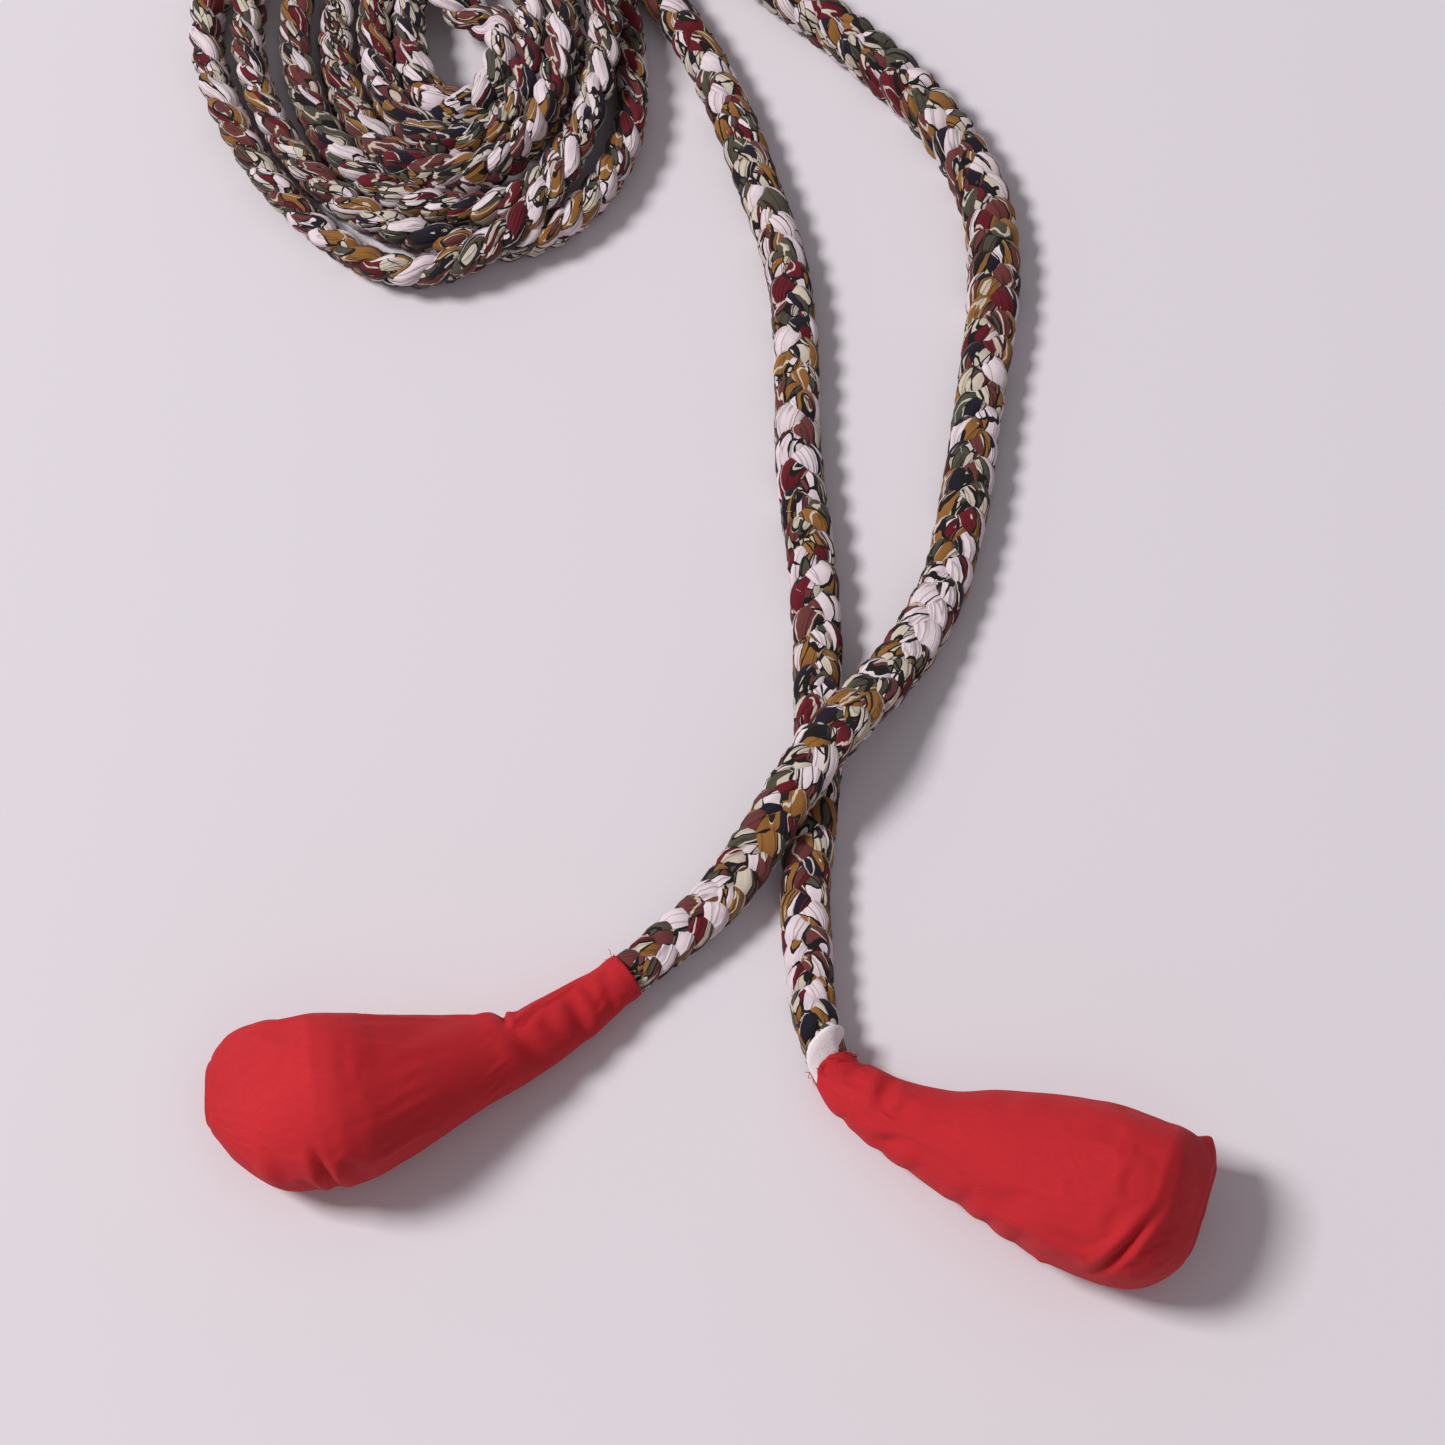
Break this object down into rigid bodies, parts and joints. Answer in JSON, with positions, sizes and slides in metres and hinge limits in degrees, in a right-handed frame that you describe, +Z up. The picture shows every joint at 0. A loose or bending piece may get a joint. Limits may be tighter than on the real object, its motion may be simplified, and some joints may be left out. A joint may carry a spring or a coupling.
{
  "type": "skipping rope",
  "caption": "Soft cloth skipping rope: a plaited cotton rope in a loose coil with a stuffed, tapering cloth handle sewn round each end.",
  "frame": {"origin": "on the surface it lies on, under the middle of the box round the two handles", "axes": "+X from the left handle to the right handle, +Y from the handles to the coil, +Z up"},
  "size_m": [0.3025, 0.4785, 0.043],
  "materials": {
    "printed_cotton": "printed cotton strips, rolled and plaited",
    "red_cotton": "plain woven cotton, matte with a faint sheen",
    "wadding": "polyester wadding",
    "thread": "sewing thread"
  },
  "bodies": {
    "rope": {"rope_coil": "printed_cotton", "left_rope_run": "printed_cotton", "right_rope_run": "printed_cotton"},
    "left_neck": {"left_neck_sleeve": "red_cotton", "left_plait_end": "printed_cotton", "left_end_binding": "thread", "left_strand_tails": "printed_cotton", "left_neck_stitches": "thread", "left_sleeve_seam": "thread"},
    "left_handle": {"left_handle_cover": "red_cotton", "left_handle_stuffing": "wadding", "left_side_seam": "thread", "left_end_seam": "thread"},
    "right_neck": {"right_neck_sleeve": "red_cotton", "right_plait_end": "printed_cotton", "right_end_binding": "thread", "right_strand_tails": "printed_cotton", "right_neck_stitches": "thread", "right_sleeve_seam": "thread"},
    "right_handle": {"right_handle_cover": "red_cotton", "right_handle_stuffing": "wadding", "right_side_seam": "thread", "right_end_seam": "thread"}
  },
  "joints": [
    {"name": "left_neck_swing", "type": "hinge", "parent": "rope", "child": "left_neck", "pos_m": [-0.0223, 0.0447, 0.00861], "axis": [0, 0, 1], "range_deg": [-30, 30]},
    {"name": "left_handle_lift", "type": "hinge", "parent": "left_neck", "child": "left_handle", "pos_m": [-0.05257, 0.02179, 0.02134], "axis": [-0.494, 0.8695, 0], "range_deg": [0, 60]},
    {"name": "right_neck_swing", "type": "hinge", "parent": "rope", "child": "right_neck", "pos_m": [0.0342, 0.0192, 0.00861], "axis": [0, 0, 1], "range_deg": [-30, 30]},
    {"name": "right_handle_lift", "type": "hinge", "parent": "right_neck", "child": "right_handle", "pos_m": [0.05301, 0.00133, 0.02039], "axis": [-0.4811, -0.8766, 0], "range_deg": [0, 60]}
  ]
}
